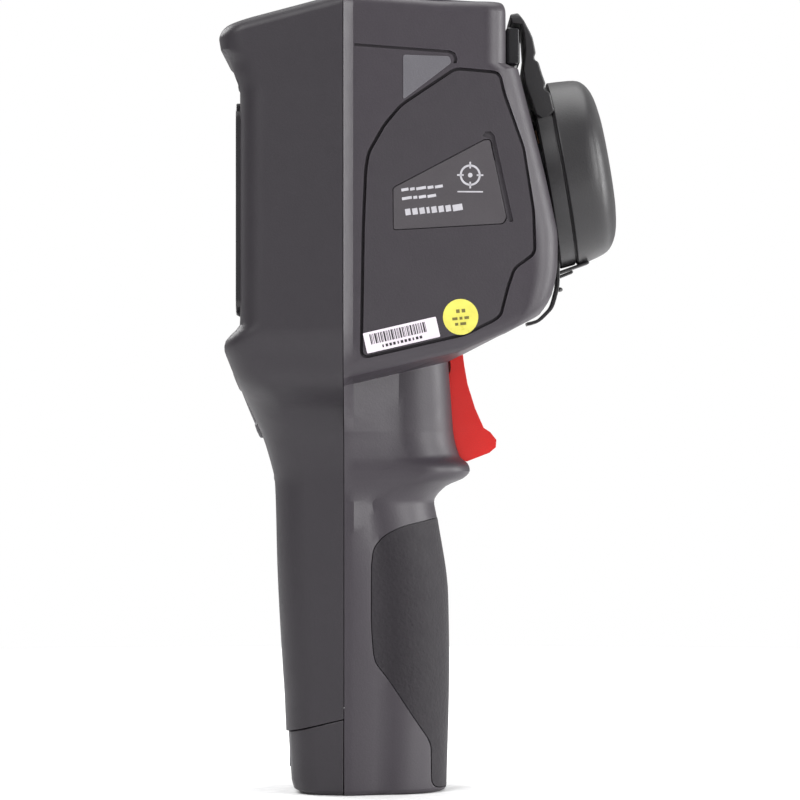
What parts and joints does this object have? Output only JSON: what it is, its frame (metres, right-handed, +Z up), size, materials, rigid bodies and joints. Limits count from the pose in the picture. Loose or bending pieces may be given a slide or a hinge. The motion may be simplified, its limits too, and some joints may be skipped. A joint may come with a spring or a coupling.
{
  "type": "thermal imaging camera",
  "caption": "Pistol-grip thermal imaging camera with a hinged rubber lens cap, trigger, rear display, sloping keypad, connector flap and a battery that slides out of the grip.",
  "frame": {"origin": "centre of the bounding box at the foot of the grip, where the camera stands", "axes": "+Z up the grip to the top of the head, +X where the lens points, -Y the operator's right-hand side"},
  "size_m": [0.1216, 0.1, 0.2431],
  "materials": {
    "dark_shell": "fine moulded texture, dark aubergine grey",
    "grey_shell": "fine moulded texture, warm mid grey",
    "side_panel": "fine moulded texture",
    "side_trim": "smooth light grey",
    "label_plate": "smooth satin",
    "paper_label": "printed white film",
    "round_sticker": "printed yellow film",
    "grip_rubber": "soft moulded rubber",
    "flap_rubber": "soft moulded rubber",
    "cap_rubber": "satin moulded rubber",
    "focus_rubber": "ribbed rubber",
    "barrel_metal": "black anodised",
    "germanium": "coated infrared glass",
    "detector_metal": "machined",
    "window_block": "gloss black",
    "lens_glass": "clear",
    "lamp_glass": "clear",
    "circuit_board": "solder mask",
    "trigger_red": "satin red",
    "steel": "drawn",
    "screw_steel": "black zinc",
    "inner_plastic": "moulded",
    "bezel": "satin black",
    "window_glass": "clear hard window over a dark display",
    "display_metal": "folded sheet",
    "key_plate": "fine moulded texture",
    "key_rubber": "satin",
    "membrane_rubber": "moulded",
    "release_plastic": "ribbed",
    "battery_plastic": "moulded",
    "contact_brass": "plated",
    "insert_brass": "machined"
  },
  "bodies": {
    "root": {"rear_shell": "dark_shell", "key_panel": "key_plate", "display_bezel": "bezel", "front_shell": "grey_shell", "side_panel_right": "side_panel", "side_panel_left": "side_panel", "label_plate_right": "label_plate", "label_plate_left": "label_plate", "side_trim_right": "side_trim", "side_trim_left": "side_trim", "barcode_label": "paper_label", "inspection_sticker": "round_sticker", "front_grip_pad": "grip_rubber", "cap_strap_anchor": "cap_rubber", "lens_barrel": "barrel_metal", "lens_retaining_ring": "barrel_metal", "front_lens": "germanium", "rear_lens": "germanium", "detector_module": "detector_metal", "window_block": "window_block", "visible_camera_lens": "lens_glass", "lamp_lens_right": "lamp_glass", "lamp_lens_left": "lamp_glass", "laser_window": "lens_glass", "camera_board": "circuit_board", "main_board": "circuit_board", "key_board": "circuit_board", "trigger_pin": "steel", "trigger_spring": "steel", "trigger_bracket": "inner_plastic", "trigger_switch": "inner_plastic", "display_window": "window_glass", "display_module": "display_metal", "key_membrane": "membrane_rubber", "battery_contacts": "contact_brass", "tripod_insert": "insert_brass", "connector_block": "inner_plastic", "usb_socket": "steel", "card_socket": "steel", "video_socket": "steel", "housing_screw_1": "screw_steel", "housing_screw_2": "screw_steel", "housing_screw_3": "screw_steel", "housing_screw_4": "screw_steel"},
    "lens_cap": {"lens_cap": "cap_rubber"},
    "focus_ring": {"focus_ring": "focus_rubber"},
    "trigger": {"trigger": "trigger_red"},
    "nav_ring": {"nav_ring": "key_rubber"},
    "ok_key": {"ok_key": "key_rubber"},
    "upper_right_key": {"upper_right_key": "key_rubber"},
    "upper_left_key": {"upper_left_key": "key_rubber"},
    "lower_right_key": {"lower_right_key": "key_rubber"},
    "lower_left_key": {"lower_left_key": "key_rubber"},
    "port_flap": {"port_flap": "flap_rubber"},
    "battery_release": {"battery_release": "release_plastic"},
    "battery": {"battery_cap": "dark_shell", "battery_pack": "battery_plastic"}
  },
  "joints": [
    {"name": "lens_cap_hinge", "type": "hinge", "parent": "root", "child": "lens_cap", "pos_m": [0.0412, 0, 0.151], "axis": [0, 1, 0], "range_deg": [0, 105]},
    {"name": "focus_turn", "type": "hinge", "parent": "root", "child": "focus_ring", "pos_m": [0.0377, 0, 0.1884], "axis": [0.9763, 0, 0.2164], "range_deg": [0, 90]},
    {"name": "trigger_pull", "type": "hinge", "parent": "root", "child": "trigger", "pos_m": [0.0045, 0, 0.1305], "axis": [0, 1, 0], "range_deg": [0, 8], "stiffness_Nm_per_rad": 0.5, "springref_deg": -5.73},
    {"name": "nav_ring_press", "type": "slide", "parent": "root", "child": "nav_ring", "axis": [0.9248, 0, 0.3804], "range_m": [0, 0.001], "stiffness_N_per_m": 400, "springref_m": -0.0015},
    {"name": "ok_key_press", "type": "slide", "parent": "root", "child": "ok_key", "axis": [0.9248, 0, 0.3804], "range_m": [0, 0.001], "stiffness_N_per_m": 300, "springref_m": -0.0015},
    {"name": "upper_right_key_press", "type": "slide", "parent": "root", "child": "upper_right_key", "axis": [0.9248, 0, 0.3804], "range_m": [0, 0.001], "stiffness_N_per_m": 300, "springref_m": -0.0015},
    {"name": "upper_left_key_press", "type": "slide", "parent": "root", "child": "upper_left_key", "axis": [0.9248, 0, 0.3804], "range_m": [0, 0.001], "stiffness_N_per_m": 300, "springref_m": -0.0015},
    {"name": "lower_right_key_press", "type": "slide", "parent": "root", "child": "lower_right_key", "axis": [0.9248, 0, 0.3804], "range_m": [0, 0.001], "stiffness_N_per_m": 300, "springref_m": -0.0015},
    {"name": "lower_left_key_press", "type": "slide", "parent": "root", "child": "lower_left_key", "axis": [0.9248, 0, 0.3804], "range_m": [0, 0.001], "stiffness_N_per_m": 300, "springref_m": -0.0015},
    {"name": "port_flap_hinge", "type": "hinge", "parent": "root", "child": "port_flap", "pos_m": [-0.0266, 0, 0.2432], "axis": [0, 1, 0], "range_deg": [0, 110]},
    {"name": "battery_slide", "type": "slide", "parent": "root", "child": "battery", "axis": [0, 0, -1], "range_m": [0, 0.07]},
    {"name": "battery_release_press", "type": "slide", "parent": "battery", "child": "battery_release", "axis": [1, 0, 0], "range_m": [0, 0.001], "stiffness_N_per_m": 400, "springref_m": -0.002}
  ]
}
